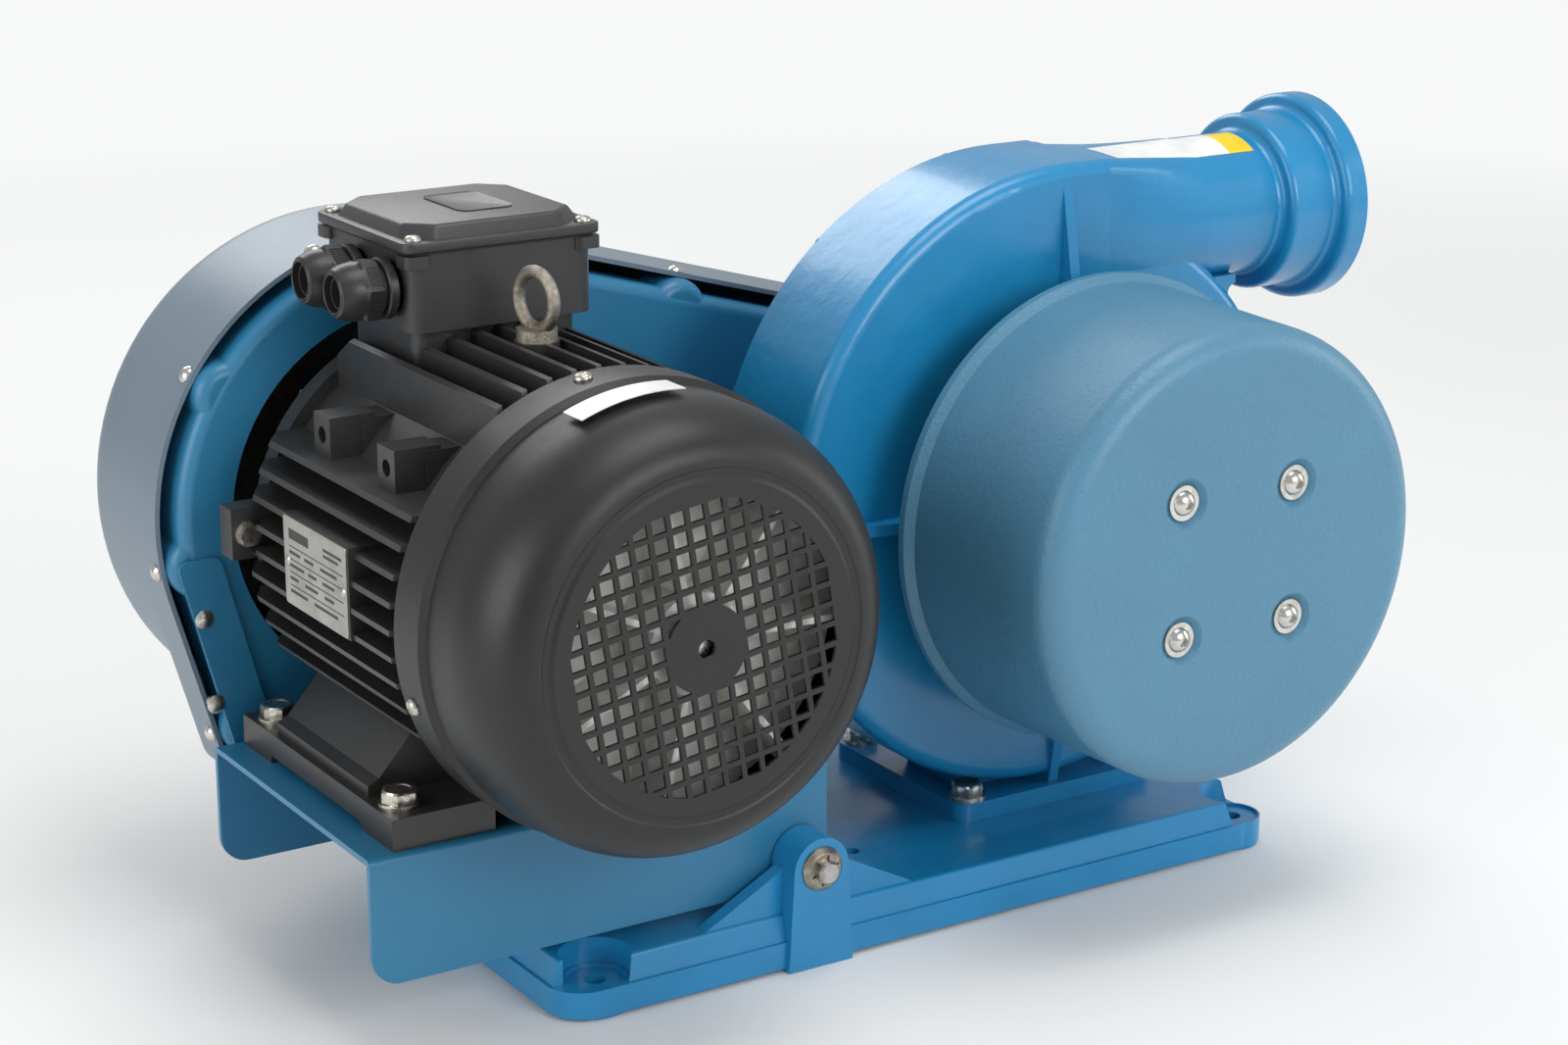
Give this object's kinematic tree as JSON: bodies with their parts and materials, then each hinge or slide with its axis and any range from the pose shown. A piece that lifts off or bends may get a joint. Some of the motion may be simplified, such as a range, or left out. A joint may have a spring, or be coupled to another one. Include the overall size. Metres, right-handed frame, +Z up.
{
  "type": "belt-driven centrifugal blower",
  "caption": "Belt-driven centrifugal blower: foot-mounted motor on a tilting plate, belt guard, scroll casing with side outlet, inlet silencer drum and cast base.",
  "frame": {"origin": "centre of the base's four-hole pattern, at floor level", "axes": "+X along the base from the motor to the blower, +Z up, the motor's fan and the silencer face -Y"},
  "size_m": [0.6381, 0.4017, 0.398],
  "materials": {
    "casting_blue": "gloss",
    "sheet_blue": "satin",
    "cover_blue": "satin",
    "drum_blue": "satin",
    "motor_black": "satin",
    "cowl_black": "gloss",
    "box_grey": "satin",
    "black_rubber": "matte",
    "gland_plastic": "satin",
    "fan_plastic": "satin",
    "block_plastic": "gloss",
    "zinc_steel": "satin",
    "stainless": "satin",
    "ground_steel": "polished",
    "cap_steel": "satin",
    "eye_nickel": "rough",
    "plate_silver": "satin",
    "foam_grey": "open-cell foam",
    "winding_copper": "lacquered",
    "core_steel": "laminated",
    "impeller_alloy": "cast",
    "pulley_iron": "machined"
  },
  "bodies": {
    "root": {"base_casting": "casting_blue", "pivot_rod": "ground_steel", "pivot_caps": "cap_steel", "volute_casing": "casting_blue", "volute_back_plate": "casting_blue", "back_plate_screws": "zinc_steel", "volute_foot_bolts": "zinc_steel", "volute_foot_washers": "zinc_steel", "bearing_housing": "casting_blue", "housing_bolts": "zinc_steel", "blower_bearings": "ground_steel", "inlet_nozzle": "casting_blue", "silencer_shell": "drum_blue", "silencer_foam": "foam_grey", "silencer_spacers": "stainless", "silencer_screws": "stainless", "silencer_washers": "stainless", "guard_inner_panel": "sheet_blue", "guard_outer_cover": "cover_blue", "guard_screws": "stainless", "guard_bracket": "sheet_blue", "guard_rivets": "zinc_steel", "guard_support": "sheet_blue", "guard_support_bolts": "zinc_steel", "drive_belts": "black_rubber"},
    "motor_carrier": {"motor_plate": "sheet_blue", "motor_frame": "motor_black", "stator_core": "core_steel", "stator_windings": "winding_copper", "drive_end_shield": "motor_black", "fan_end_shield": "motor_black", "motor_bearings": "ground_steel", "shield_screws": "zinc_steel", "motor_foot_bolts": "zinc_steel", "motor_foot_washers": "zinc_steel", "motor_foot_nuts": "zinc_steel", "fan_cowl": "cowl_black", "cowl_screws": "zinc_steel", "terminal_box": "box_grey", "terminal_gasket": "black_rubber", "terminal_lid": "box_grey", "lid_screws": "zinc_steel", "terminal_block": "block_plastic", "gland_bodies": "gland_plastic", "gland_nuts": "gland_plastic", "gland_seals": "black_rubber", "eye_bolt": "eye_nickel", "rating_plate": "plate_silver", "plate_rivets": "zinc_steel", "earth_bolt": "zinc_steel"},
    "rotor": {"motor_shaft": "ground_steel", "rotor_core": "core_steel", "cooling_fan": "fan_plastic", "drive_pulley": "pulley_iron"},
    "impeller_group": {"blower_shaft": "ground_steel", "impeller": "impeller_alloy", "impeller_nut": "zinc_steel", "driven_pulley": "pulley_iron"}
  },
  "joints": [
    {"name": "motor_tilt", "type": "hinge", "parent": "root", "child": "motor_carrier", "pos_m": [-0.082, 0, 0.053], "axis": [0, 1, 0], "range_deg": [0, 3], "deforming": ["drive_belts"]},
    {"name": "motor_rotation", "type": "hinge", "parent": "motor_carrier", "child": "rotor", "pos_m": [-0.197, 0, 0.213], "axis": [0, 1, 0], "continuous": true},
    {"name": "impeller_rotation", "type": "hinge", "parent": "root", "child": "impeller_group", "pos_m": [0.112, 0, 0.203], "axis": [0, 1, 0], "continuous": true}
  ],
  "couplings": [
    {"joint": "impeller_rotation", "follows": "motor_rotation", "ratio": 2.8169}
  ]
}
